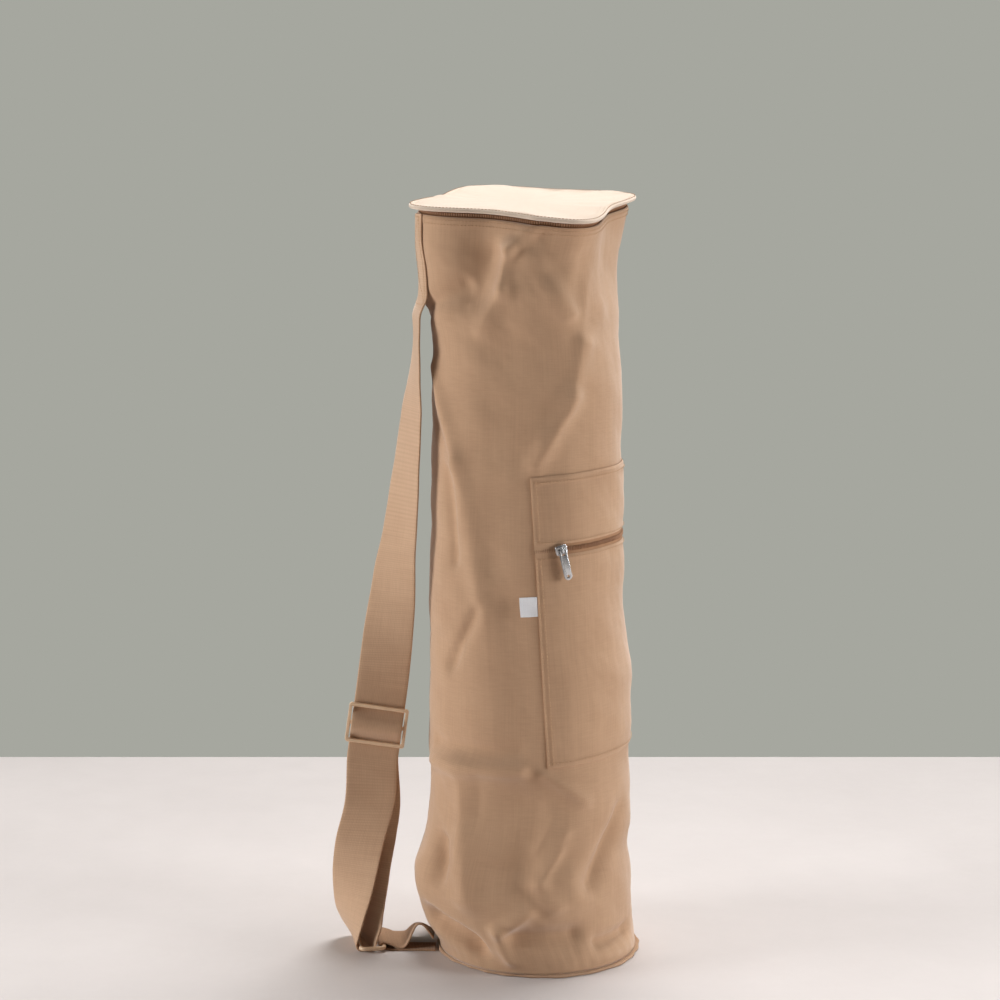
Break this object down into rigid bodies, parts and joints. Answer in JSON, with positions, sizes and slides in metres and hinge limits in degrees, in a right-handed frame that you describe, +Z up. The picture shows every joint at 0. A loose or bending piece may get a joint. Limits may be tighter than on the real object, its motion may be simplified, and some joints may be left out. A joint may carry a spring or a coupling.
{
  "type": "yoga mat bag",
  "caption": "Upright cylindrical canvas bag for a rolled exercise mat, with a zipped lid, a zipped outside pocket and an adjustable webbing shoulder strap tied to the base",
  "frame": {"origin": "centre of the round base, on the floor", "axes": "+Z up along the bag, -Y towards the viewer of the picture, where the pocket is, +X to the viewer's right, away from the strap"},
  "size_m": [0.2932, 0.2047, 0.7162],
  "materials": {
    "canvas": "matte tan cotton canvas, plain weave",
    "webbing": "matte tan cotton webbing",
    "zip_tape": "matte brown woven tape with a nylon coil",
    "tag_cloth": "matte white woven tape",
    "silver_metal": "satin silver",
    "cream_plastic": "satin cream plastic"
  },
  "bodies": {
    "bag": {"body_panel": "canvas", "base_panel": "canvas", "lid_panel": "canvas", "lid_zip": "zip_tape", "lid_zip_slider": "silver_metal", "pocket_lower": "canvas", "pocket_upper": "canvas", "pocket_zip": "zip_tape", "side_tag": "tag_cloth", "zip_slider": "silver_metal", "shoulder_strap": "webbing", "strap_slider": "cream_plastic", "strap_ring": "cream_plastic", "anchor_loop": "webbing"},
    "pull": {"zip_pull": "silver_metal"}
  },
  "joints": [
    {"name": "pull_hinge", "type": "hinge", "parent": "bag", "child": "pull", "pos_m": [0.01938, -0.09047, 0.39736], "axis": [-0.9216, -0.3035, -0.2419], "range_deg": [0, 150]}
  ]
}
